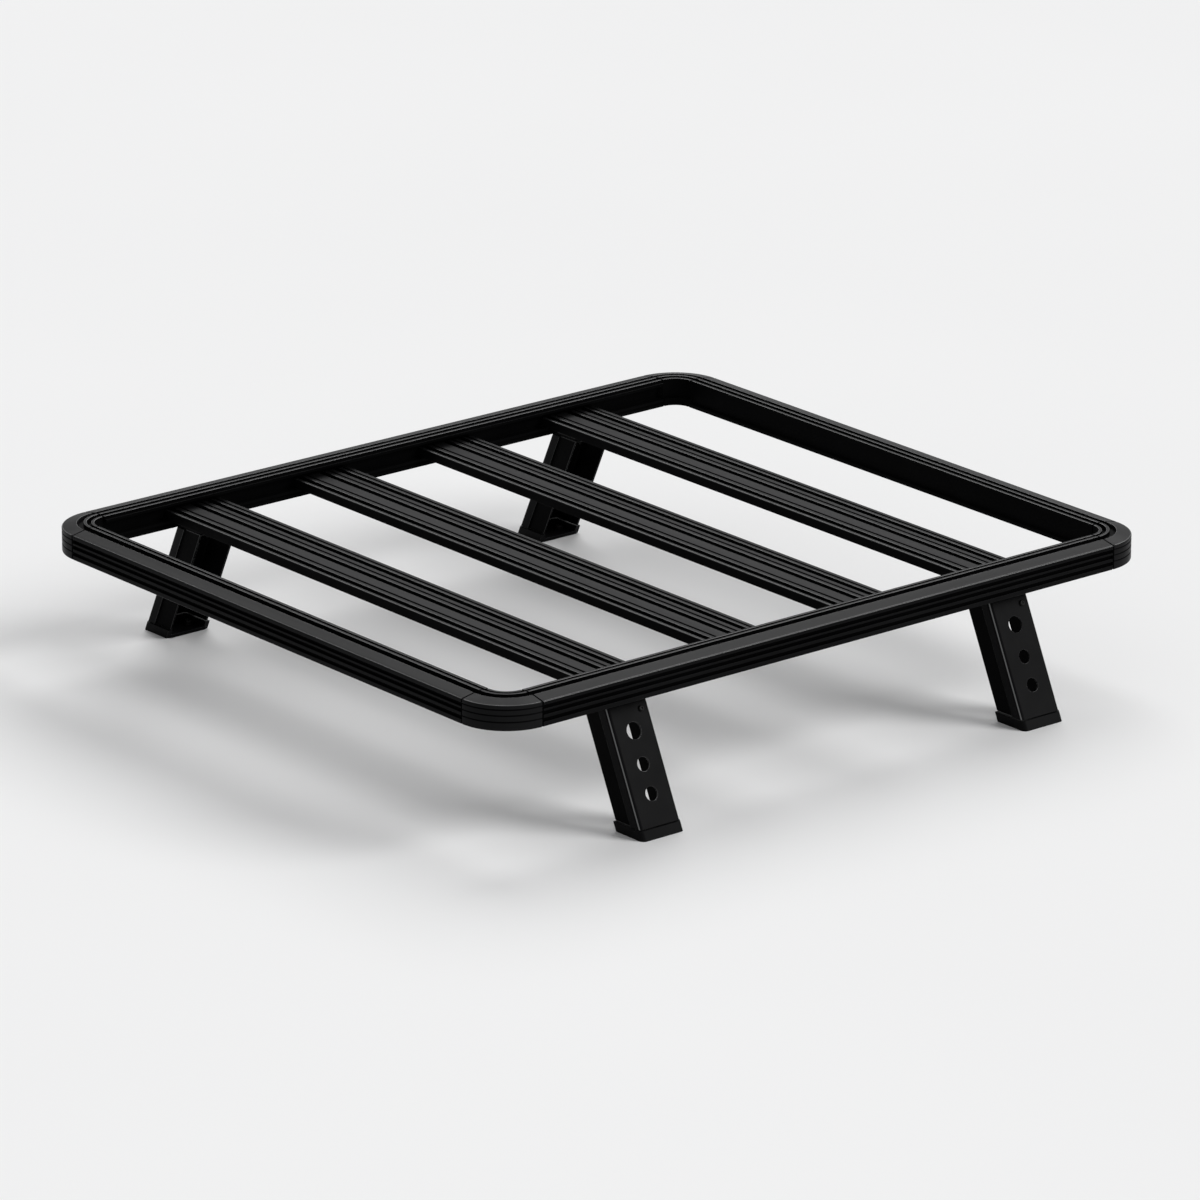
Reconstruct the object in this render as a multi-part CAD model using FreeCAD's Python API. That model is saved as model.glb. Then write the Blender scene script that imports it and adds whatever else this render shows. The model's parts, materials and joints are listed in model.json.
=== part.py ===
import FreeCAD, Part
import math
import os
from FreeCAD import Vector

# Truck bed rack: a flat tray of extruded rails and slats on four leaning legs.
# Millimetres. X runs along the truck towards its tail, Y across it, Z up.
# The origin is on the surface that the feet stand on, under the tray's middle.

# Overall sizes
RACK_LENGTH = 1430.0
RACK_WIDTH = 1255.0
UNDER_HEIGHT = 220.0

# Perimeter rail, seen in section: across from the outer face, and up from the underside
RAIL_WIDTH = 62.0
RAIL_HEIGHT = 50.0
OUTER_FACE_HEIGHT = 43.5
BAND_WIDTH = 26.0
BAND_RISE = 5.0
RIDGE_WIDTH = 5.5
RIDGE_GAP = 7.5
RIDGE_INSET = 6.0
INNER_RIDGE_DROP = 1.0
VALLEY_DEPTH = 6.5
RAIL_EDGE = 1.2
FACE_GROOVE_HEIGHTS = (11.5, 23.5, 33.5)
FACE_GROOVE_WIDTH = 6.4
FACE_GROOVE_DEPTH = 5.5
GROOVE_SLOPE = 0.8
LEDGE_HEIGHT = 14.0
LEDGE_WIDTH = 16.0
LIP_TOP = 44.0
LIP_THICKNESS = 5.0
TOE_GROOVE_HEIGHT = 5.5
TOE_GROOVE_WIDTH = 3.5
TOE_GROOVE_DEPTH = 2.5
END_LIP_HEIGHT = 7.0

# Corner pieces
CORNER_RADIUS = 92.0
CORNER_LINE_HEIGHTS = (15.0, 26.0, 36.0)
CORNER_LINE_WIDTH = 2.4
CORNER_LINE_DEPTH = 1.4
JOINT_GAP = 0.9

# Slats: bands of metal from the front edge to the rear one, with a T-slot between each two
SLAT_COUNT = 4
SLAT_PITCH = 278.0
SLAT_SHIFT = -12.0
SLAT_HEIGHT = 17.0
SLAT_BANDS = (6.5, 34.5, 21.0, 18.5)
SLAT_LINES = (None, 10.5, 10.0, 8.5)
SLAT_LINE_WIDTH = 4.5
SLAT_LINE_DEPTH = 3.5
SLAT_EDGE = 1.0
SLOT_MOUTH = 11.5
SLOT_LIP = 4.0
SLOT_DEPTH = 11.0
SLOT_CAVITY = 16.5
SLAT_END_CLEARANCE = 1.5

# Legs: a channel open inboard, a pressed cover over its outer face, a bracket and a foot
LEG_LEAN = 25.0
LEG_SPACING = 834.0
LEG_TOP_INSET = 46.0
LEG_WIDTH = 87.0
LEG_DEPTH = 66.0
COVER_WALL = 3.0
COVER_RETURN = 24.0
COVER_RADIUS = 8.0
CHANNEL_WALL = 3.5
CHANNEL_RADIUS = 7.0
HOLE_DROPS = (58.0, 109.0, 154.0)
HOLE_DIAMETERS = (29.0, 24.0, 24.0)
WINDOW_MARGIN = 4.0

BRACKET_PLATE = 6.0
BRACKET_LENGTH = 82.0
BRACKET_OUTER_INSET = 16.0
BRACKET_INNER_REACH = 6.0
BRACKET_RADIUS = 8.0
BRACKET_FLANGE_WIDTH = 59.0
BRACKET_FLANGE_WALL = 5.0
BRACKET_FLANGE_DROP = 36.0

FOOT_HEIGHT = 16.0
FOOT_PROUD = 1.2
FOOT_WALL = 9.0
FOOT_FLOOR = 6.0
FOOT_INNER_TOE = 5.0
FOOT_RADIUS = 10.0
BOLT_HOLE = 9.0
BOLT_SPACING = 44.0

# Places worked out from the sizes above
LEAN_SLOPE = math.tan(math.radians(LEG_LEAN))
SLAT_WIDTH = sum(SLAT_BANDS) + SLOT_MOUTH * (len(SLAT_BANDS) - 1)
SLAT_CENTRES = [SLAT_SHIFT + SLAT_PITCH * (i - (SLAT_COUNT - 1) / 2.0) for i in range(SLAT_COUNT)]
SLAT_BOTTOM = UNDER_HEIGHT + LEDGE_HEIGHT
LEG_STATIONS = {"front": -LEG_SPACING / 2.0, "rear": LEG_SPACING / 2.0}
SIDES = {"left": -1.0, "right": 1.0}
LEG_TOP = UNDER_HEIGHT - BRACKET_PLATE


def face_of(points):
    """A flat face inside the closed outline through the points."""
    return Part.Face(Part.makePolygon(list(points) + [points[0]]))


def face_grooves():
    """Points up the rail's outer face, with a flat groove at each height."""
    points = []
    for middle in FACE_GROOVE_HEIGHTS:
        low = middle - FACE_GROOVE_WIDTH / 2.0
        high = middle + FACE_GROOVE_WIDTH / 2.0
        points += [(0.0, low), (FACE_GROOVE_DEPTH, low + GROOVE_SLOPE)]
        points += [(FACE_GROOVE_DEPTH, high - GROOVE_SLOPE), (0.0, high)]
    return points


def corner_lines():
    """Points up a corner piece's outer face, with a fine V groove at each height."""
    points = []
    for middle in CORNER_LINE_HEIGHTS:
        low = middle - CORNER_LINE_WIDTH / 2.0
        high = middle + CORNER_LINE_WIDTH / 2.0
        points += [(0.0, low), (CORNER_LINE_DEPTH, middle), (0.0, high)]
    return points


def ledged_inner_face():
    """Points down a side rail's inner face: a lip, the recess over the slats' ledge, and a groove."""
    recess = RAIL_WIDTH - LEDGE_WIDTH
    groove_top = TOE_GROOVE_HEIGHT + TOE_GROOVE_WIDTH
    groove_floor = RAIL_WIDTH - TOE_GROOVE_DEPTH
    points = [(RAIL_WIDTH - RIDGE_INSET, LIP_TOP), (RAIL_WIDTH, LIP_TOP)]
    points += [(RAIL_WIDTH, LIP_TOP - LIP_THICKNESS), (recess, LIP_TOP - LIP_THICKNESS)]
    points += [(recess, LEDGE_HEIGHT), (RAIL_WIDTH, LEDGE_HEIGHT)]
    points += [(RAIL_WIDTH, groove_top), (groove_floor, groove_top)]
    points += [(groove_floor, TOE_GROOVE_HEIGHT), (RAIL_WIDTH, TOE_GROOVE_HEIGHT)]
    return points


def plain_inner_face(lip_height):
    """Points down a flat inner face that ends in a lip of the height."""
    return [(RAIL_WIDTH - RIDGE_INSET, lip_height), (RAIL_WIDTH, lip_height)]


def rail_section(outer_face, inner_face):
    """The rail's outline as (across, up) pairs, round the points given for its two side faces."""
    band_top = OUTER_FACE_HEIGHT + BAND_RISE
    valley = band_top - VALLEY_DEPTH
    inner_top = RAIL_HEIGHT - INNER_RIDGE_DROP
    inner_far = RAIL_WIDTH - RIDGE_INSET
    inner_near = inner_far - RIDGE_WIDTH
    middle_far = inner_near - RIDGE_GAP
    middle_near = middle_far - RIDGE_WIDTH
    points = [(RAIL_EDGE, 0.0), (0.0, RAIL_EDGE)]
    points += outer_face
    points += [(0.0, OUTER_FACE_HEIGHT - RAIL_EDGE), (RAIL_EDGE, OUTER_FACE_HEIGHT)]
    points += [(BAND_WIDTH, band_top), (BAND_WIDTH, valley)]
    points += [(middle_near, valley), (middle_near, RAIL_HEIGHT)]
    points += [(middle_far, RAIL_HEIGHT), (middle_far, valley)]
    points += [(inner_near, valley), (inner_near, inner_top), (inner_far, inner_top)]
    points += inner_face
    points += [(RAIL_WIDTH, 0.0)]
    return points


def straight_rail(length, reach, inner_face, turn):
    """A rail of the length whose outer face stands at reach, turned about Z from the -Y side."""
    section = rail_section(face_grooves(), inner_face)
    start = -length / 2.0
    outline = [Vector(start, across - reach, UNDER_HEIGHT + up) for across, up in section]
    rail = face_of(outline).extrude(Vector(length, 0.0, 0.0))
    rail.rotate(Vector(0.0, 0.0, 0.0), Vector(0.0, 0.0, 1.0), turn)
    return rail


def corner_piece(along, side):
    """A quarter turn of the rail's section, plainer outside, at one corner of the tray."""
    section = rail_section(corner_lines(), plain_inner_face(LEDGE_HEIGHT))
    outline = [Vector(CORNER_RADIUS - across, 0.0, UNDER_HEIGHT + up) for across, up in section]
    piece = face_of(outline).revolve(Vector(0.0, 0.0, 0.0), Vector(0.0, 0.0, 1.0), 90.0)
    start_angle = {(1, 1): 0.0, (-1, 1): 90.0, (-1, -1): 180.0, (1, -1): 270.0}[(along, side)]
    piece.rotate(Vector(0.0, 0.0, 0.0), Vector(0.0, 0.0, 1.0), start_angle)
    piece.translate(Vector(along * (RACK_LENGTH / 2.0 - CORNER_RADIUS),
                           side * (RACK_WIDTH / 2.0 - CORNER_RADIUS), 0.0))
    return piece


def slat_section():
    """The slat's outline as (along, up) pairs from its front bottom edge, T-slots open upwards."""
    points = [(0.0, 0.0)]
    along = 0.0
    last = len(SLAT_BANDS) - 1
    undercut = (SLOT_CAVITY - SLOT_MOUTH) / 2.0
    for number, (band, line) in enumerate(zip(SLAT_BANDS, SLAT_LINES)):
        if number == 0:
            points += [(0.0, SLAT_HEIGHT - SLAT_EDGE), (SLAT_EDGE, SLAT_HEIGHT)]
        else:
            points.append((along, SLAT_HEIGHT))
        if line is not None:
            floor = SLAT_HEIGHT - SLAT_LINE_DEPTH
            near = along + line - SLAT_LINE_WIDTH / 2.0
            far = along + line + SLAT_LINE_WIDTH / 2.0
            points += [(near, SLAT_HEIGHT), (near, floor), (far, floor), (far, SLAT_HEIGHT)]
        along += band
        if number == last:
            points += [(along - SLAT_EDGE, SLAT_HEIGHT), (along, SLAT_HEIGHT - SLAT_EDGE), (along, 0.0)]
        else:
            lip = SLAT_HEIGHT - SLOT_LIP
            floor = SLAT_HEIGHT - SLOT_DEPTH
            across = along + SLOT_MOUTH
            points += [(along, SLAT_HEIGHT), (along, lip), (along - undercut, lip)]
            points += [(along - undercut, floor), (across + undercut, floor)]
            points += [(across + undercut, lip), (across, lip)]
            along = across
    return points


def slat(centre):
    """A slat across the tray, its ends resting on the side rails' ledges."""
    half = RACK_WIDTH / 2.0 - RAIL_WIDTH + LEDGE_WIDTH - SLAT_END_CLEARANCE
    front = centre - SLAT_WIDTH / 2.0
    outline = [Vector(front + along, -half, SLAT_BOTTOM + up) for along, up in slat_section()]
    return face_of(outline).extrude(Vector(0.0, 2.0 * half, 0.0))


def outboard_at(height):
    """How far out the leg's outer face stands at a height."""
    return RACK_WIDTH / 2.0 - LEG_TOP_INSET + (UNDER_HEIGHT - height) * LEAN_SLOPE


def leaning_prism(section, side, low, high):
    """A prism of a level (along, inboard) section that leans with the leg from low to high."""
    wire = Part.Wire(section(lambda along, inboard: Vector(
        along, side * (outboard_at(low) - inboard), low)))
    rise = high - low
    return Part.Face(wire).extrude(Vector(0.0, -side * rise * LEAN_SLOPE, rise))


def channel_outline(half, near, depth, radius):
    """Edges of a level outline with two rounded outer corners, as a function of a placing rule."""
    bulge = radius * (1.0 - math.sqrt(0.5))

    def edges(place):
        left = Part.Arc(place(-half, near + radius), place(-half + bulge, near + bulge),
                        place(-half + radius, near)).toShape()
        right = Part.Arc(place(half - radius, near), place(half - bulge, near + bulge),
                         place(half, near + radius)).toShape()
        return [
            left,
            Part.makeLine(place(-half + radius, near), place(half - radius, near)),
            right,
            Part.makeLine(place(half, near + radius), place(half, near + depth)),
            Part.makeLine(place(half, near + depth), place(-half, near + depth)),
            Part.makeLine(place(-half, near + depth), place(-half, near + radius)),
        ]

    return edges


def open_channel(half, near, depth, radius, wall, side, low, high):
    """A leaning U channel, open inboard, whose outer face lies near inboard of the leg's own."""
    outer = leaning_prism(channel_outline(half, near, depth, radius), side, low, high)
    inner_radius = max(radius - wall, wall / 2.0)
    inner = leaning_prism(channel_outline(half - wall, near + wall, depth, inner_radius), side, low, high)
    return outer.cut(inner)


def square_to_leg(drop, diameter, side):
    """A cylinder square to the leg's outer face, through it at a drop below the rails."""
    lean = math.radians(LEG_LEAN)
    outward = Vector(0.0, side * math.cos(lean), math.sin(lean))
    reach = COVER_WALL + CHANNEL_WALL + COVER_RADIUS
    height = UNDER_HEIGHT - drop
    start = Vector(0.0, side * outboard_at(height), height) - outward * reach
    return Part.makeCylinder(diameter / 2.0, 2.0 * reach, start, outward)


def leg_holes(side):
    """The cylinders that cut the cover's holes."""
    return Part.makeCompound([square_to_leg(drop, diameter, side)
                              for drop, diameter in zip(HOLE_DROPS, HOLE_DIAMETERS)])


def leg_window(side):
    """The long round-ended window in the channel's web, wider than the holes that it lies behind."""
    width = max(HOLE_DIAMETERS) + 2.0 * WINDOW_MARGIN
    upper = square_to_leg(HOLE_DROPS[0], width, side)
    lower = square_to_leg(HOLE_DROPS[-1], width, side)
    lean = math.radians(LEG_LEAN)
    reach = COVER_WALL + CHANNEL_WALL + COVER_RADIUS
    run = (HOLE_DROPS[-1] - HOLE_DROPS[0]) / math.cos(lean)
    between = Part.makeBox(width, 2.0 * reach, run, Vector(-width / 2.0, -reach, -run))
    between.rotate(Vector(0.0, 0.0, 0.0), Vector(1.0, 0.0, 0.0), side * LEG_LEAN)
    height = UNDER_HEIGHT - HOLE_DROPS[0]
    between.translate(Vector(0.0, side * outboard_at(height), height))
    return upper.fuse([between, lower]).removeSplitter()


def rounded_plate(length, inner, outer, low, thickness, radius, side):
    """A level plate with rounded corners between two distances from the middle of the tray."""
    first = min(side * inner, side * outer)
    plate = Part.makeBox(length, outer - inner, thickness, Vector(-length / 2.0, first, low))
    upright = [e for e in plate.Edges if abs(e.Vertexes[0].Z - e.Vertexes[1].Z) > thickness / 2.0]
    return plate.makeFillet(radius, upright)


def leg_cover(side):
    """The pressed cover on the leg's outer face, with its three holes."""
    cover = open_channel(LEG_WIDTH / 2.0, 0.0, COVER_RETURN, COVER_RADIUS, COVER_WALL,
                         side, FOOT_HEIGHT, LEG_TOP)
    return cover.cut(leg_holes(side))


def leg_channel(side):
    """The channel behind the cover, open inboard, with a window behind the cover's holes."""
    channel = open_channel(LEG_WIDTH / 2.0 - COVER_WALL, COVER_WALL, LEG_DEPTH - COVER_WALL,
                           CHANNEL_RADIUS, CHANNEL_WALL, side, FOOT_HEIGHT, LEG_TOP)
    return channel.cut(leg_window(side))


def leg_bracket(side):
    """The plate under the side rail, with a flange down the inside of the channel."""
    inner = outboard_at(LEG_TOP) - LEG_DEPTH - BRACKET_INNER_REACH
    outer = RACK_WIDTH / 2.0 - BRACKET_OUTER_INSET
    plate = rounded_plate(BRACKET_LENGTH, inner, outer, LEG_TOP, BRACKET_PLATE, BRACKET_RADIUS, side)
    near = COVER_WALL + CHANNEL_WALL
    half = BRACKET_FLANGE_WIDTH / 2.0

    def flange_edges(place):
        corners = [place(-half, near), place(half, near),
                   place(half, near + BRACKET_FLANGE_WALL), place(-half, near + BRACKET_FLANGE_WALL)]
        return Part.makePolygon(corners + [corners[0]]).Edges

    flange = leaning_prism(flange_edges, side, LEG_TOP - BRACKET_FLANGE_DROP, LEG_TOP)
    return plate.fuse(flange).removeSplitter()


def leg_foot(side):
    """The foot: a floor with two bolt holes, and walls that the cover and the channel stand on."""
    inner = outboard_at(0.0) - LEG_DEPTH - FOOT_INNER_TOE
    outer = outboard_at(FOOT_FLOOR) + FOOT_PROUD
    half = LEG_WIDTH / 2.0 + FOOT_PROUD
    floor = rounded_plate(2.0 * half, inner, outer, 0.0, FOOT_FLOOR, FOOT_RADIUS, side)
    walls = open_channel(half, -FOOT_PROUD, LEG_DEPTH + 2.0 * FOOT_PROUD,
                         COVER_RADIUS + FOOT_PROUD, FOOT_WALL, side, 0.0, FOOT_HEIGHT)
    foot = floor.fuse(walls).removeSplitter()
    middle = (inner + outboard_at(FOOT_FLOOR) + FOOT_PROUD - FOOT_WALL) / 2.0
    for along in (-BOLT_SPACING / 2.0, BOLT_SPACING / 2.0):
        foot = foot.cut(Part.makeCylinder(BOLT_HOLE / 2.0, FOOT_FLOOR, Vector(along, side * middle, 0.0)))
    return foot


def build():
    """Every piece of the rack, by name."""
    pieces = {}
    side_length = RACK_LENGTH - 2.0 * (CORNER_RADIUS + JOINT_GAP)
    end_length = RACK_WIDTH - 2.0 * (CORNER_RADIUS + JOINT_GAP)
    side_face = ledged_inner_face()
    end_face = plain_inner_face(END_LIP_HEIGHT)
    pieces["left_rail"] = straight_rail(side_length, RACK_WIDTH / 2.0, side_face, 0.0)
    pieces["rear_rail"] = straight_rail(end_length, RACK_LENGTH / 2.0, end_face, 90.0)
    pieces["right_rail"] = straight_rail(side_length, RACK_WIDTH / 2.0, side_face, 180.0)
    pieces["front_rail"] = straight_rail(end_length, RACK_LENGTH / 2.0, end_face, 270.0)
    for end, along in (("front", -1), ("rear", 1)):
        for hand, side in SIDES.items():
            pieces[end + "_" + hand + "_corner"] = corner_piece(along, int(side))
    for number, centre in enumerate(SLAT_CENTRES, start=1):
        pieces["slat_" + str(number)] = slat(centre)
    makers = {"leg_channel": leg_channel, "leg_cover": leg_cover,
              "leg_bracket": leg_bracket, "leg_foot": leg_foot}
    for end, station in LEG_STATIONS.items():
        for hand, side in SIDES.items():
            for name, maker in makers.items():
                piece = maker(side)
                piece.translate(Vector(station, 0.0, 0.0))
                pieces[end + "_" + hand + "_" + name] = piece
    return pieces


os.makedirs("parts", exist_ok=True)
for node, shape in build().items():
    if shape.ShapeType != "Solid":
        shape = shape.Solids[0]
    shape.exportStep("parts/" + node + ".step")
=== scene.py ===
import json
import math

import bpy
from mathutils import Matrix, Vector


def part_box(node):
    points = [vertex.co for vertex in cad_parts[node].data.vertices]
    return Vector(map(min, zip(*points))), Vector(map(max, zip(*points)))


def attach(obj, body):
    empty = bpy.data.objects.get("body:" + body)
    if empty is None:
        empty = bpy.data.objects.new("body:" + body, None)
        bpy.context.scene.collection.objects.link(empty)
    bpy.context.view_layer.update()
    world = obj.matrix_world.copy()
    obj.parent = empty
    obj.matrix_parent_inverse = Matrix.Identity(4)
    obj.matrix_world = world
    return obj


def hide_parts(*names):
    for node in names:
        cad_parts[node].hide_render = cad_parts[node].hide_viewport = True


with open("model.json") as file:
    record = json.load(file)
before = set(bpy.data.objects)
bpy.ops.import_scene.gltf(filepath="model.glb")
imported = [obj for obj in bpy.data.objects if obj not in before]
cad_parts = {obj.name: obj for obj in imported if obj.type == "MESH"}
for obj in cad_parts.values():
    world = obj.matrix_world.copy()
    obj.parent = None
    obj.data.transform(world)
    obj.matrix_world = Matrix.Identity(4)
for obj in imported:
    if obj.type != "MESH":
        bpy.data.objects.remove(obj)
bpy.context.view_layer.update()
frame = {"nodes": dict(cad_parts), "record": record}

MM = 0.001
ENDS = {"front": -1.0, "rear": 1.0}
HANDS = {"left": -1.0, "right": 1.0}
SLAT_NUMBERS = range(1, 5)

# A dressed piece's materials, in the order of its material slots: its own coat, a painted highlight
# on edges, painted shade in recesses and a painted highlight on bends
OWN_COAT, EDGE_HIGHLIGHT_SLOT, RECESS_SHADE_SLOT, BEND_HIGHLIGHT_SLOT = range(4)

# Edge rounding of each kind of piece
EXTRUSION_EDGE = 0.7 * MM
CORNER_EDGE = 1.0 * MM
FOOT_EDGE = 1.4 * MM
COVER_EDGE = 1.1 * MM
FOLDED_EDGE = 0.6 * MM
HEAD_EDGE = 0.18 * MM
ROUNDING_STEPS = 2
SHARP_ANGLE = math.radians(28.0)

# Cleaning of the copied solids, and how near a point lies to the end or level it belongs to
FLAT_ANGLE = math.radians(0.6)
WELD_DISTANCE = 0.004 * MM
NEAR_END = 0.05 * MM
NEAR_LEVEL = 0.01 * MM
FACES_UP = 0.99

# How far a piece stops short at a joint or a seam, which then shows as a dark line
JOINT_DRAW = 1.3 * MM
SEAM_DRAW = 1.4 * MM

# Where the painted edge highlight stays: how far a face looks up, how near the top and how far from
# a joint it lies, and between which angles, in degrees, a cover's bend gets a painted highlight
TOP_HIGHLIGHT_UP = 0.55
TOP_BAND = 8.5 * MM
NO_HIGHLIGHT_REACH = 2.0 * MM
BEND_HIGHLIGHT_TURN = (36.0, 56.0)

# Where the recesses of the rails and slats lie, which get painted shade, in the part's own sizes:
# depths are measured from the outer face, heights from the underside, and a slat's lines, whose
# edges get no painted highlight, from its front edge
GROOVE_DEPTHS = (0.25 * MM, 7.0 * MM)
GROOVE_HEIGHTS = (5.0 * MM, 41.5 * MM)
VALLEY_START = 26.4 * MM
VALLEY_HEIGHTS = (1.0 * MM, 48.3 * MM)
SLAT_LINES = (28.5 * MM, 74.0 * MM, 105.0 * MM)
LINE_REACH = 4.0 * MM

# Legs and the places of the fasteners, in the part's own sizes
LEG_LEAN = math.radians(25.0)
FOOT_FLOOR = 6.0 * MM
COVER_SCREW_ALONG = 25.0 * MM
COVER_SCREW_DROP = 23.0 * MM
COVER_STACK = 11.5 * MM
BRACKET_SCREW_ALONG = 27.0 * MM
BRACKET_SCREW_INSET = 14.0 * MM
SLAT_SCREW_ALONG = 50.5 * MM
SLAT_SCREW_INSET = 7.5 * MM

# Forms of the fasteners' heads: a screw's rim and socket as shares of its height, with the rim's
# steps between them; a washer's rim as a share of its height; a crown as shares of its flats
ROUND_SIDES = 36
DOMED = (0.62, 5, 0.55)
FLUSH = (0.5, 2, 0.8)
WASHER_RIM = 0.3
WASHER_STEPS = 2
CROWN_INSET = 0.09
CROWN_RISE = 0.07
SOCKET_OVERRUN = 1.0 * MM
SOCKET_SIZE = 4.0 * MM

# Camera, fitted to the corners of the tray in the photograph
PHOTO_PIXELS = 1200.0
FOCAL_PIXELS = 7904.0
CAMERA_AZIMUTH = math.radians(-39.28)
CAMERA_ELEVATION = math.radians(18.894)
CAMERA_DISTANCE = 13.495
TRAY_EDGE_HEIGHT = 0.2635
AIM_RIGHT = -0.0071
AIM_UP = 0.1221
SENSOR_WIDTH = 36.0
CLIP_END = 200.0

# Floor and light
FLOOR_SIZE = 60.0
FLOOR_TONES = ((0.885, 0.885, 0.885), (0.895, 0.895, 0.895))
FLOOR_NOISE = 0.7
FLOOR_ROUGHNESS = 0.9
WORLD_COLOUR = (0.985, 0.99, 1.0, 1.0)
WORLD_LIGHT = 0.36
WORLD_SEEN = 0.72
SKY_FROM = (0.5, 0.52, 0.70)
SKY_SPREAD = math.radians(42.0)
SKY_STRENGTH = 1.4
SIDE_FROM = (0.55, -0.62, 0.56)
SIDE_SPREAD = math.radians(30.0)
SIDE_STRENGTH = 1.8

# Colours and textures of the coats: each pair of tones is a dark and a light one
COAT_DARK = (0.0034, 0.0034, 0.0036)
COAT_LIGHT = (0.0047, 0.0047, 0.0050)
COAT_TONES = (COAT_DARK, COAT_LIGHT)
# Painted light: the corners get a lighter copy of the coat
CORNER_LIT_TONES = ((0.0070, 0.0070, 0.0073), (0.0098, 0.0098, 0.0102))
# Painted shade: a darker copy of the coat for recesses, slat sides, a leg's channel and its bracket
SHADE_TONES = ((0.0014, 0.0014, 0.0015), (0.0022, 0.0022, 0.0024))
# Painted highlight: a lighter, glossier copy of the coat on rounded edges
EDGE_HIGHLIGHT_TONES = (COAT_LIGHT, (0.011, 0.011, 0.0115))
# Painted highlight: a bright, glossy line along a cover's bends
BEND_HIGHLIGHT_TONES = (COAT_LIGHT, (0.016, 0.016, 0.017))
STEEL_TONES = ((0.003, 0.0029, 0.0028), (0.0055, 0.0053, 0.0051))
NOISE_RANGE = (0.3, 0.7)
TONE_STOPS = (0.32, 0.68)
TONE_SCALE, TONE_DETAIL = 9.0, 3.0
STREAK_SCALE, STREAK_DETAIL = 26.0, 4.0
GRAIN_DETAIL, GRAIN_STRENGTH, GRAIN_DEPTH = 3.0, 0.22, 0.12 * MM
STEEL_TONE_SCALE, STEEL_ROUGH_SCALE, STEEL_GRAIN_SCALE = 180.0, 420.0, 2400.0
STEEL_ROUGHNESS = (0.30, 0.42)
STEEL_GRAIN_STRENGTH, STEEL_GRAIN_DEPTH = 0.15, 0.05 * MM
STEEL_GLOSS = 0.1
ALONG_X = (0.04, 2.2, 2.2)
ALONG_Y = (2.2, 0.04, 2.2)
EVEN = (1.0, 1.0, 1.0)


# Materials

def new_material(name):
    """A node material that holds only a Principled shader and its output."""
    material = bpy.data.materials.new(name)
    material.use_nodes = True
    nodes = material.node_tree.nodes
    nodes.clear()
    output = nodes.new("ShaderNodeOutputMaterial")
    shader = nodes.new("ShaderNodeBsdfPrincipled")
    material.node_tree.links.new(shader.outputs["BSDF"], output.inputs["Surface"])
    return material, shader


def noise(material, scale, detail=2.0, stretch=EVEN):
    """A noise texture on Object coordinates, scaled by the stretch along each axis."""
    nodes = material.node_tree.nodes
    links = material.node_tree.links
    place = nodes.new("ShaderNodeTexCoord")
    mapping = nodes.new("ShaderNodeMapping")
    mapping.inputs["Scale"].default_value = stretch
    texture = nodes.new("ShaderNodeTexNoise")
    texture.inputs["Scale"].default_value = scale
    texture.inputs["Detail"].default_value = detail
    links.new(place.outputs["Object"], mapping.inputs["Vector"])
    links.new(mapping.outputs["Vector"], texture.inputs["Vector"])
    return texture


def between(material, source, limits):
    """Maps a noise onto the range between two limits."""
    node = material.node_tree.nodes.new("ShaderNodeMapRange")
    node.inputs["From Min"].default_value = NOISE_RANGE[0]
    node.inputs["From Max"].default_value = NOISE_RANGE[1]
    node.inputs["To Min"].default_value = limits[0]
    node.inputs["To Max"].default_value = limits[1]
    material.node_tree.links.new(source.outputs["Fac"], node.inputs["Value"])
    return node.outputs["Result"]


def two_tones(material, source, tones):
    """A colour that drifts between two tones with a noise."""
    ramp = material.node_tree.nodes.new("ShaderNodeValToRGB")
    for element, stop, tone in zip(ramp.color_ramp.elements, TONE_STOPS, tones):
        element.position = stop
        element.color = (*tone, 1.0)
    material.node_tree.links.new(source.outputs["Fac"], ramp.inputs["Fac"])
    return ramp.outputs["Color"]


def bump(material, shader, source, strength, depth):
    """Joins a noise to the shader's normal as a fine relief."""
    node = material.node_tree.nodes.new("ShaderNodeBump")
    node.inputs["Strength"].default_value = strength
    node.inputs["Distance"].default_value = depth
    material.node_tree.links.new(source.outputs["Fac"], node.inputs["Height"])
    material.node_tree.links.new(node.outputs["Normal"], shader.inputs["Normal"])


def powder_coat(name, tones, roughness, grain, streak=EVEN, gloss=0.03, varnish=0.0):
    """Satin black powder coat: a fine orange-peel grain, with die lines along a streaked piece."""
    material, shader = new_material(name)
    links = material.node_tree.links
    drift = noise(material, TONE_SCALE, TONE_DETAIL)
    links.new(two_tones(material, drift, tones), shader.inputs["Base Color"])
    lines = noise(material, STREAK_SCALE, STREAK_DETAIL, streak)
    links.new(between(material, lines, roughness), shader.inputs["Roughness"])
    bump(material, shader, noise(material, grain, GRAIN_DETAIL), GRAIN_STRENGTH, GRAIN_DEPTH)
    shader.inputs["Specular IOR Level"].default_value = gloss
    shader.inputs["Coat Weight"].default_value = varnish
    return material


def blackened_steel(name):
    """Black oxide on a screw head: a little glossier and browner than the coat."""
    material, shader = new_material(name)
    links = material.node_tree.links
    tone = two_tones(material, noise(material, STEEL_TONE_SCALE), STEEL_TONES)
    links.new(tone, shader.inputs["Base Color"])
    sheen = between(material, noise(material, STEEL_ROUGH_SCALE), STEEL_ROUGHNESS)
    links.new(sheen, shader.inputs["Roughness"])
    bump(material, shader, noise(material, STEEL_GRAIN_SCALE),
         STEEL_GRAIN_STRENGTH, STEEL_GRAIN_DEPTH)
    shader.inputs["Specular IOR Level"].default_value = STEEL_GLOSS
    return material


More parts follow.
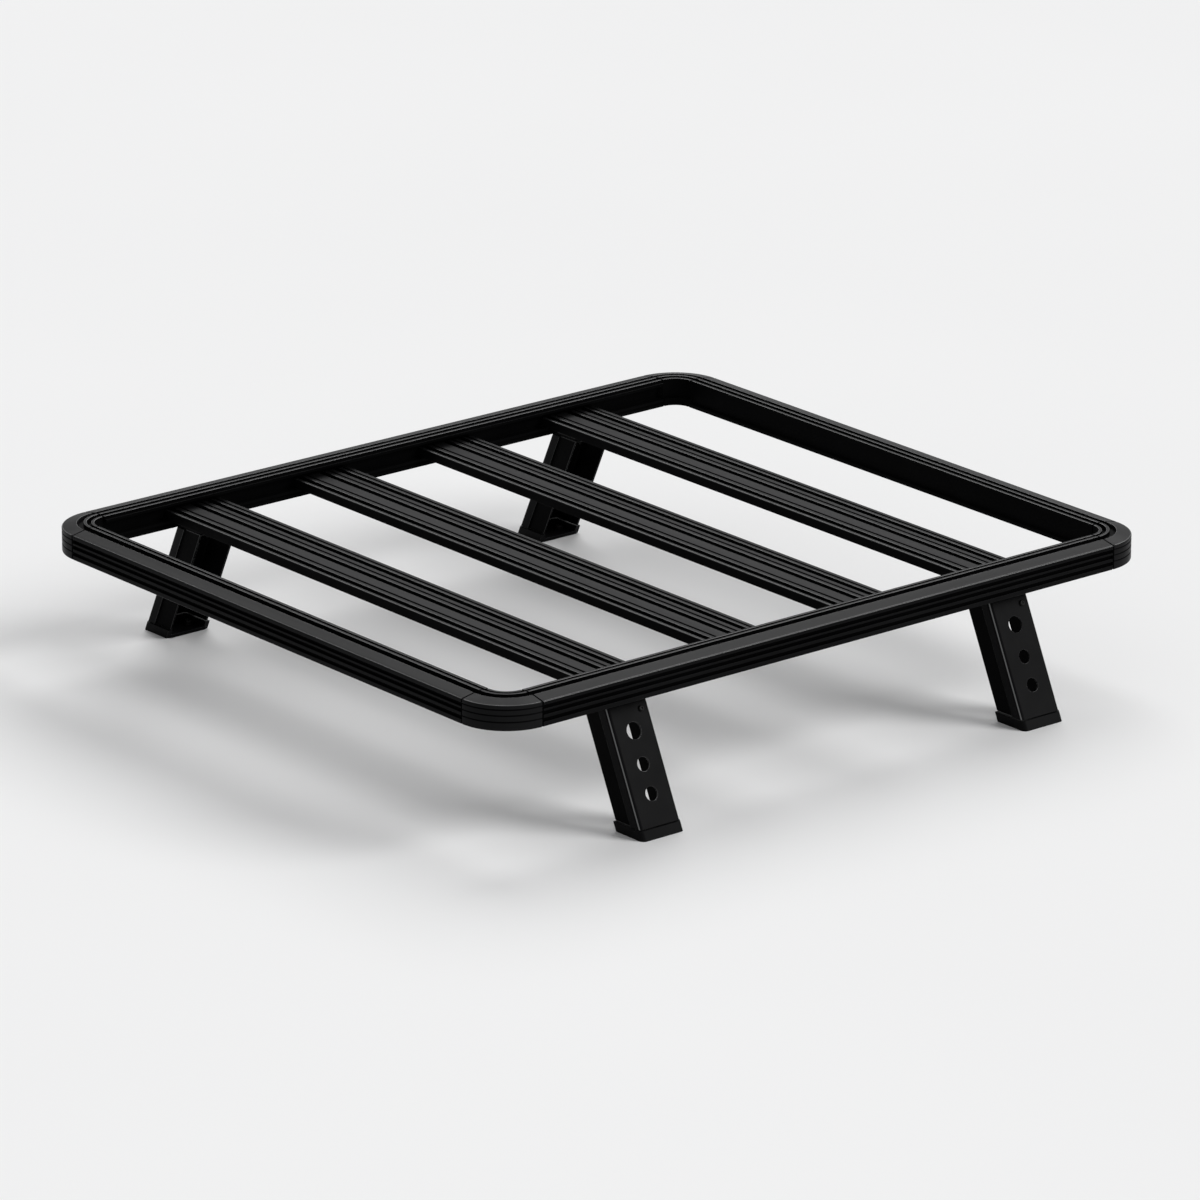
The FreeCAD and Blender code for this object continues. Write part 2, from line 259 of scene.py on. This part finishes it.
side_rail_coat = powder_coat("side_rail_coat", COAT_TONES, roughness=(0.30, 0.38), grain=1500.0,
                             streak=ALONG_X)
cross_coat = powder_coat("cross_member_coat", COAT_TONES, roughness=(0.30, 0.38), grain=1500.0,
                         streak=ALONG_Y)
# Painted light: the corners' coat is lighter than the rails' coat
corner_coat = powder_coat("corner_coat", CORNER_LIT_TONES, roughness=(0.31, 0.39), grain=1300.0)
leg_coat = powder_coat("leg_coat", COAT_TONES, roughness=(0.32, 0.41), grain=1200.0)
# Painted shade: a darker, duller copy of the coat
painted_shade_coat = powder_coat("painted_shade_coat", SHADE_TONES, roughness=(0.44, 0.54), grain=1000.0,
                         gloss=0.012)
foot_coat = powder_coat("foot_coat", COAT_TONES, roughness=(0.36, 0.46), grain=1000.0)
# Painted highlight on the rounded edges
edge_highlight_coat = powder_coat("edge_highlight_coat", EDGE_HIGHLIGHT_TONES, roughness=(0.24, 0.32), grain=1500.0, gloss=0.36)
# Painted highlight along a cover's bends
bend_highlight_coat = powder_coat("bend_highlight_coat", BEND_HIGHLIGHT_TONES, roughness=(0.20, 0.28), grain=1500.0, gloss=1.0,
                        varnish=0.8)
screw_finish = blackened_steel("screw_finish")


# Steps that several pieces share

def pick(obj):
    """Makes one object the only selected and active one."""
    bpy.ops.object.select_all(action="DESELECT")
    obj.select_set(True)
    bpy.context.view_layer.objects.active = obj


def clear_selection(mesh):
    """Deselects all parts of a mesh in object mode."""
    for part in (mesh.vertices, mesh.edges, mesh.polygons):
        part.foreach_set("select", [False] * len(part))


def own_copy(source, name):
    """A copy of an object with its own mesh, left as the active object."""
    pick(source)
    bpy.ops.object.duplicate()
    piece = bpy.context.view_layer.objects.active
    piece.name = name
    piece.data.name = name
    return piece


def apply_place():
    """Moves the place of the selected object into its mesh."""
    bpy.ops.object.transform_apply(location=True, rotation=True, scale=True)


def round_edges(piece, width, coat=-1):
    """Rounds the sharp edges of the active piece, in the coat of a material slot if one is given."""
    rounding = piece.modifiers.new("edge rounding", "BEVEL")
    rounding.width = width
    rounding.segments = ROUNDING_STEPS
    rounding.limit_method = "ANGLE"
    rounding.angle_limit = SHARP_ANGLE
    rounding.material = coat
    bpy.ops.object.modifier_apply(modifier=rounding.name)
    bpy.ops.object.shade_smooth_by_angle(angle=SHARP_ANGLE)


# Pieces made from the frame's own solids, with their edges rounded

def draw_back(piece, axis, pick_end, shift):
    """Moves the flat end of a piece, so that the joint it makes shows as a dark line."""
    end = pick_end(vertex.co[axis] for vertex in piece.data.vertices)
    clear_selection(piece.data)
    for vertex in piece.data.vertices:
        vertex.select = abs(vertex.co[axis] - end) < NEAR_END
    bpy.ops.object.mode_set(mode="EDIT")
    bpy.ops.mesh.select_mode(type="VERT")
    bpy.ops.transform.translate(value=shift)
    bpy.ops.object.mode_set(mode="OBJECT")


def rounded_copy(node, name, edge, material, joints=()):
    """A copy of a solid with welded faces and rounded edges, which stands for it."""
    piece = own_copy(frame["nodes"][node], name)
    bpy.ops.object.mode_set(mode="EDIT")
    bpy.ops.mesh.select_all(action="SELECT")
    bpy.ops.mesh.remove_doubles(threshold=WELD_DISTANCE)
    bpy.ops.mesh.dissolve_limited(angle_limit=FLAT_ANGLE)
    bpy.ops.mesh.normals_make_consistent(inside=False)
    bpy.ops.object.mode_set(mode="OBJECT")
    for axis, pick_end, shift in joints:
        draw_back(piece, axis, pick_end, shift)
    # Slots for the piece's coat, a painted edge highlight and painted shade; the rounded edges get
    # the painted highlight
    piece.data.materials.clear()
    for coat in (material, edge_highlight_coat, painted_shade_coat):
        piece.data.materials.append(coat)
    round_edges(piece, edge, EDGE_HIGHLIGHT_SLOT)
    flatten = piece.modifiers.new("even shading", "WEIGHTED_NORMAL")
    flatten.keep_sharp = True
    bpy.ops.object.modifier_apply(modifier=flatten.name)
    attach(piece, "root")
    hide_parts(node)
    return piece


def highlight_top_edges(piece, joint_axes=(), pick_ends=(min, max)):
    """Leaves the painted highlight only on the edges of the top, away from the joints."""
    points = [vertex.co for vertex in piece.data.vertices]
    top = max(point.z for point in points)
    ends = [(axis, pick_end(point[axis] for point in points))
            for axis in joint_axes for pick_end in pick_ends]
    for polygon in piece.data.polygons:
        if polygon.material_index == EDGE_HIGHLIGHT_SLOT:
            high = polygon.normal.z > TOP_HIGHLIGHT_UP and polygon.center.z > top - TOP_BAND
            joint = any(abs(polygon.center[axis] - place) < NO_HIGHLIGHT_REACH for axis, place in ends)
            polygon.material_index = EDGE_HIGHLIGHT_SLOT if high and not joint else OWN_COAT


def shade_recesses(piece, outline_depth):
    """Paints shade on the grooves, valleys and inner faces of a rail, with a darker, duller coat."""
    underside = min(vertex.co.z for vertex in piece.data.vertices)
    for polygon in piece.data.polygons:
        depth = outline_depth(polygon.center)
        height = polygon.center.z - underside
        in_groove = (GROOVE_DEPTHS[0] < depth < GROOVE_DEPTHS[1]
                     and GROOVE_HEIGHTS[0] < height < GROOVE_HEIGHTS[1])
        in_valley = depth > VALLEY_START and VALLEY_HEIGHTS[0] < height < VALLEY_HEIGHTS[1]
        if in_groove or in_valley:
            polygon.material_index = RECESS_SHADE_SLOT


def nearest_to_middle(places):
    """The place that is nearest to the tray's middle."""
    return min(places, key=abs)


def rail_depth(rail, axis):
    """How far a point lies in from a rail's outer face, as a function of the point."""
    reach = max(abs(vertex.co[axis]) for vertex in rail.data.vertices)
    return lambda point: reach - abs(point[axis])


def corner_depth(corner):
    """How far a point lies in from a corner's outer face, as a function of the point."""
    points = [vertex.co for vertex in corner.data.vertices]
    middle = [nearest_to_middle(point[axis] for point in points) for axis in (0, 1)]
    radius = max(abs(point.x - middle[0]) for point in points)
    return lambda point: radius - math.hypot(point.x - middle[0], point.y - middle[1])


def shade_slat_sides(slat):
    """Paints shade on a slat's sides, and takes the painted highlight off the edges of its narrow
    lines.
    """
    front = min(vertex.co.x for vertex in slat.data.vertices)
    rear = max(vertex.co.x for vertex in slat.data.vertices)
    for polygon in slat.data.polygons:
        along = polygon.center.x - front
        in_line = any(abs(along - line) < LINE_REACH for line in SLAT_LINES)
        if min(along, rear - front - along) < NEAR_END:
            polygon.material_index = RECESS_SHADE_SLOT
        elif polygon.material_index == EDGE_HIGHLIGHT_SLOT and in_line:
            polygon.material_index = OWN_COAT


def clear_end_highlights(piece):
    """Takes the painted highlight off the edges at the foot and the top of an upright piece."""
    heights = [vertex.co.z for vertex in piece.data.vertices]
    low, high = min(heights), max(heights)
    for polygon in piece.data.polygons:
        if min(polygon.center.z - low, high - polygon.center.z) < NO_HIGHLIGHT_REACH:
            polygon.material_index = OWN_COAT


def out_of_leg(hand):
    """The direction that a leg's outer plate looks in, on the left or right hand."""
    return Vector((0.0, hand * math.cos(LEG_LEAN), math.sin(LEG_LEAN)))


def paint_bend_highlights(cover, hand):
    """Paints a bright highlight along the middle of each pressed bend of a cover."""
    cover.data.materials.append(bend_highlight_coat)
    outward = out_of_leg(hand)
    for polygon in cover.data.polygons:
        turn = math.degrees(math.atan2(abs(polygon.normal.x), polygon.normal.dot(outward)))
        if BEND_HIGHLIGHT_TURN[0] < turn < BEND_HIGHLIGHT_TURN[1]:
            polygon.material_index = BEND_HIGHLIGHT_SLOT


def dress_rail(place, coat, run, across, joints):
    """A rail that runs along one axis and whose outer face looks along the other."""
    rail = rounded_copy(f"{place}_rail", f"{place}_rail_coated", EXTRUSION_EDGE, coat,
                        joints)
    # Painted highlight on the top edges, painted shade in the grooves and valleys
    highlight_top_edges(rail, (run,))
    shade_recesses(rail, rail_depth(rail, across))


def dress_leg(at, hand):
    """The four pieces of a leg, whose channel and cover stop short of the foot's rim."""
    seam = ((2, min, (0.0, -hand * SEAM_DRAW * math.tan(LEG_LEAN), SEAM_DRAW)),)
    # The channel and the bracket are coated in painted shade
    rounded_copy(f"{at}_leg_channel", f"{at}_leg_channel_coated", FOLDED_EDGE, painted_shade_coat,
                 seam)
    cover = rounded_copy(f"{at}_leg_cover", f"{at}_leg_cover_coated", COVER_EDGE, leg_coat,
                         seam)
    # The cover's ends lose the painted edge highlight, and its bends get a painted highlight
    clear_end_highlights(cover)
    paint_bend_highlights(cover, hand)
    rounded_copy(f"{at}_leg_bracket", f"{at}_leg_bracket_coated", FOLDED_EDGE, painted_shade_coat)
    foot = rounded_copy(f"{at}_leg_foot", f"{at}_leg_foot_coated", FOOT_EDGE, foot_coat)
    clear_end_highlights(foot)


side_joints = ((0, min, (JOINT_DRAW, 0.0, 0.0)), (0, max, (-JOINT_DRAW, 0.0, 0.0)))
cross_joints = ((1, min, (0.0, JOINT_DRAW, 0.0)), (1, max, (0.0, -JOINT_DRAW, 0.0)))
for side in HANDS:
    dress_rail(side, side_rail_coat, 0, 1, side_joints)
for end in ENDS:
    dress_rail(end, cross_coat, 1, 0, cross_joints)
for number in SLAT_NUMBERS:
    slat = rounded_copy(f"slat_{number}", f"slat_{number}_coated", EXTRUSION_EDGE, cross_coat)
    # Painted highlight on the top edges, painted shade on the sides
    highlight_top_edges(slat)
    shade_slat_sides(slat)
for end in ENDS:
    for side, hand in HANDS.items():
        at = f"{end}_{side}"
        corner = rounded_copy(f"{at}_corner", f"{at}_corner_coated", CORNER_EDGE, corner_coat)
        # Painted highlight on the top edges, painted shade in the grooves and valleys
        highlight_top_edges(corner, (0, 1), (nearest_to_middle,))
        shade_recesses(corner, corner_depth(corner))
        dress_leg(at, hand)


# Fasteners, each kind modelled once, head up at the origin, and copied to its places

def turned_blank(name, sides, radius, height):
    """An upright prism that stands on the origin, ready to be shaped."""
    bpy.ops.object.select_all(action="DESELECT")
    bpy.ops.mesh.primitive_cylinder_add(vertices=sides, radius=radius, depth=height,
                                        location=(0.0, 0.0, height / 2.0))
    blank = bpy.context.view_layer.objects.active
    blank.name = name
    apply_place()
    return blank


def raise_blank(blank, height):
    """Lifts a blank by a height, with its place moved into its mesh."""
    blank.location.z = height
    pick(blank)
    apply_place()


def round_over_top(blank, height, width, steps):
    """Rounds the top rim of a blank over a width."""
    mesh = blank.data
    clear_selection(mesh)
    for edge in mesh.edges:
        edge.select = all(abs(mesh.vertices[v].co.z - height) < NEAR_LEVEL for v in edge.vertices)
    bpy.ops.object.mode_set(mode="EDIT")
    bpy.ops.mesh.select_mode(type="EDGE")
    bpy.ops.mesh.bevel(offset=width, segments=steps, profile=0.5, affect="EDGES")
    bpy.ops.object.mode_set(mode="OBJECT")


def cut_socket(head, size, height, depth):
    """Cuts a hexagon socket of a width across its flats into the top of a head."""
    cutter = turned_blank("socket_cutter", 6, size / math.sqrt(3.0), depth + SOCKET_OVERRUN)
    raise_blank(cutter, height - depth)
    pick(head)
    socket = head.modifiers.new("socket", "BOOLEAN")
    socket.operation = "DIFFERENCE"
    socket.object = cutter
    socket.solver = "EXACT"
    bpy.ops.object.modifier_apply(modifier=socket.name)
    pick(cutter)
    bpy.ops.object.delete()


def socket_screw(name, width, height, form):
    """A screw's head: a round blank, its rim rounded over, with a hexagon socket."""
    rim_share, rim_steps, socket_share = form
    head = turned_blank(name, ROUND_SIDES, width / 2.0, height)
    round_over_top(head, height, rim_share * height, rim_steps)
    cut_socket(head, SOCKET_SIZE, height, socket_share * height)
    return head


def hexagon_bolt(name, flats, height, washer_width, washer_height):
    """A hexagon head with a chamfered crown, on a plain washer."""
    washer = turned_blank(name, ROUND_SIDES, washer_width / 2.0, washer_height)
    round_over_top(washer, washer_height, WASHER_RIM * washer_height, WASHER_STEPS)
    head = turned_blank(name + "_head", 6, flats / math.sqrt(3.0), height)
    clear_selection(head.data)
    for polygon in head.data.polygons:
        at_top = abs(polygon.center.z - height) < NEAR_LEVEL
        polygon.select = at_top and abs(polygon.normal.z) > FACES_UP
    bpy.ops.object.mode_set(mode="EDIT")
    bpy.ops.mesh.select_mode(type="FACE")
    bpy.ops.mesh.inset(thickness=CROWN_INSET * flats)
    bpy.ops.transform.translate(value=(0.0, 0.0, CROWN_RISE * flats))
    bpy.ops.object.mode_set(mode="OBJECT")
    raise_blank(head, washer_height)
    washer.select_set(True)
    bpy.context.view_layer.objects.active = washer
    bpy.ops.object.join()
    return washer


def finished_head(head):
    """Rounds the sharp edges of a fastener's head and gives it its finish."""
    pick(head)
    round_edges(head, HEAD_EDGE)
    head.data.materials.clear()
    head.data.materials.append(screw_finish)


def place_copy(head, name, point, outward):
    """A copy of a fastener with its own mesh, seated at a point with its head turned outwards."""
    piece = own_copy(head, name)
    piece.location = point
    piece.rotation_euler = Vector(outward).to_track_quat("Z", "X").to_euler()
    apply_place()
    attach(piece, "root")


def fasten_leg(at, hand, pattern):
    """The screw and nut at the top of a leg's cover, and the fasteners of its foot and bracket."""
    cover_low, cover_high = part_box(f"{at}_leg_cover")
    station = (cover_low[0] + cover_high[0]) / 2.0
    foot_reach = max(abs(cover_low[1]), abs(cover_high[1]))
    height = cover_high[2] - COVER_SCREW_DROP
    reach = foot_reach - (height - cover_low[2]) * math.tan(LEG_LEAN)
    seat = Vector((station + COVER_SCREW_ALONG, hand * reach, height))
    outward = out_of_leg(hand)
    inner_seat = seat - outward * COVER_STACK * math.cos(LEG_LEAN)
    place_copy(cover_screw, f"{at}_cover_screw", seat, outward)
    place_copy(cover_nut, f"{at}_cover_nut", inner_seat, -outward)
    spacing = pattern["dims"]["spacing_x_mm"] * MM / 2.0
    bracket_low, bracket_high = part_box(f"{at}_leg_bracket")
    bracket_reach = max(abs(bracket_low[1]), abs(bracket_high[1])) - BRACKET_SCREW_INSET
    for place, way in ENDS.items():
        foot_point = (station + way * spacing, pattern["pos_m"][1], FOOT_FLOOR)
        bracket_point = (station + way * BRACKET_SCREW_ALONG, hand * bracket_reach, cover_high[2])
        place_copy(foot_bolt, f"{at}_foot_bolt_{place}", foot_point, (0.0, 0.0, 1.0))
        place_copy(bracket_screw, f"{at}_bracket_screw_{place}", bracket_point,
                   (0.0, 0.0, -1.0))


def fasten_slat(number):
    """The two screws that hold each end of a slat, from under the side rail's ledge."""
    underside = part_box("left_rail")[0][2]
    low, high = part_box(f"slat_{number}")
    station = (low[0] + high[0]) / 2.0
    for side, hand in HANDS.items():
        for place, way in ENDS.items():
            point = (station + way * SLAT_SCREW_ALONG, hand * (high[1] - SLAT_SCREW_INSET),
                     underside)
            place_copy(slat_screw, f"slat_{number}_{side}_screw_{place}", point,
                       (0.0, 0.0, -1.0))


cover_screw = socket_screw("cover_screw", width=10.5 * MM, height=3.3 * MM, form=DOMED)
slat_screw = socket_screw("slat_screw", width=11.0 * MM, height=0.8 * MM, form=FLUSH)
foot_bolt = hexagon_bolt("foot_bolt", flats=13.0 * MM, height=5.0 * MM,
                         washer_width=17.0 * MM, washer_height=1.6 * MM)
cover_nut = hexagon_bolt("cover_nut", flats=10.0 * MM, height=4.6 * MM,
                         washer_width=11.8 * MM, washer_height=1.2 * MM)
bracket_screw = socket_screw("bracket_screw", width=12.0 * MM, height=0.8 * MM, form=FLUSH)
models = (cover_screw, slat_screw, foot_bolt, cover_nut, bracket_screw)
for head in models:
    finished_head(head)
mounts = {mount["name"]: mount for mount in frame["record"]["mounts"]}
for end in ENDS:
    for side, hand in HANDS.items():
        fasten_leg(f"{end}_{side}", hand, mounts[f"{end}_{side}_foot_bolts"])
for number in SLAT_NUMBERS:
    fasten_slat(number)
for head in models:
    pick(head)
    bpy.ops.object.delete()


# Floor, light and camera

def pale_floor():
    """A plain pale floor that keeps the rack's shadow."""
    bpy.ops.object.select_all(action="DESELECT")
    bpy.ops.mesh.primitive_plane_add(size=FLOOR_SIZE, location=(0.0, 0.0, 0.0))
    floor = bpy.context.view_layer.objects.active
    floor.name = "floor"
    material, shader = new_material("floor_paint")
    tone = two_tones(material, noise(material, FLOOR_NOISE), FLOOR_TONES)
    material.node_tree.links.new(tone, shader.inputs["Base Color"])
    shader.inputs["Roughness"].default_value = FLOOR_ROUGHNESS
    shader.inputs["Specular IOR Level"].default_value = 0.0
    floor.data.materials.append(material)


def broad_light(name, origin, spread, strength):
    """An even light from one side, broad enough for soft shadows."""
    data = bpy.data.lights.new(name, "SUN")
    data.angle = spread
    data.energy = strength
    lamp = bpy.data.objects.new(name, data)
    bpy.context.scene.collection.objects.link(lamp)
    lamp.rotation_euler = Vector(origin).to_track_quat("Z", "Y").to_euler()


def studio_world():
    """An even world, brighter to the camera and in reflections than its light on the object."""
    world = bpy.data.worlds.new("studio")
    world.use_nodes = True
    nodes = world.node_tree.nodes
    links = world.node_tree.links
    background = nodes["Background"]
    background.inputs["Color"].default_value = WORLD_COLOUR
    rays = nodes.new("ShaderNodeLightPath")
    seen = nodes.new("ShaderNodeMath")
    seen.operation = "MAXIMUM"
    through = nodes.new("ShaderNodeMath")
    through.operation = "MAXIMUM"
    level = nodes.new("ShaderNodeMapRange")
    level.inputs["To Min"].default_value = WORLD_LIGHT
    level.inputs["To Max"].default_value = WORLD_SEEN
    links.new(rays.outputs["Is Camera Ray"], seen.inputs[0])
    links.new(rays.outputs["Is Glossy Ray"], seen.inputs[1])
    links.new(seen.outputs["Value"], through.inputs[0])
    links.new(rays.outputs["Is Transmission Ray"], through.inputs[1])
    links.new(through.outputs["Value"], level.inputs["Value"])
    links.new(level.outputs["Result"], background.inputs["Strength"])
    bpy.context.scene.world = world


def photo_camera():
    """The camera at the photograph's angle and distance."""
    right = Vector((math.cos(CAMERA_AZIMUTH), math.sin(CAMERA_AZIMUTH), 0.0))
    back = Vector((math.sin(CAMERA_AZIMUTH) * math.cos(CAMERA_ELEVATION),
                   -math.cos(CAMERA_AZIMUTH) * math.cos(CAMERA_ELEVATION),
                   math.sin(CAMERA_ELEVATION)))
    up = back.cross(right)
    data = bpy.data.cameras.new("photo_camera")
    data.sensor_width = SENSOR_WIDTH
    data.lens = SENSOR_WIDTH * FOCAL_PIXELS / PHOTO_PIXELS
    data.clip_end = CLIP_END
    camera = bpy.data.objects.new("photo_camera", data)
    bpy.context.scene.collection.objects.link(camera)
    turn = Matrix((right, up, back)).transposed()
    camera.rotation_euler = turn.to_euler()
    middle = Vector((0.0, 0.0, TRAY_EDGE_HEIGHT))
    camera.location = middle + back * CAMERA_DISTANCE - right * AIM_RIGHT - up * AIM_UP
    bpy.context.scene.camera = camera


pale_floor()
studio_world()
broad_light("sky_light", SKY_FROM, SKY_SPREAD, SKY_STRENGTH)
broad_light("side_light", SIDE_FROM, SIDE_SPREAD, SIDE_STRENGTH)
photo_camera()
bpy.context.scene.view_settings.view_transform = "Standard"
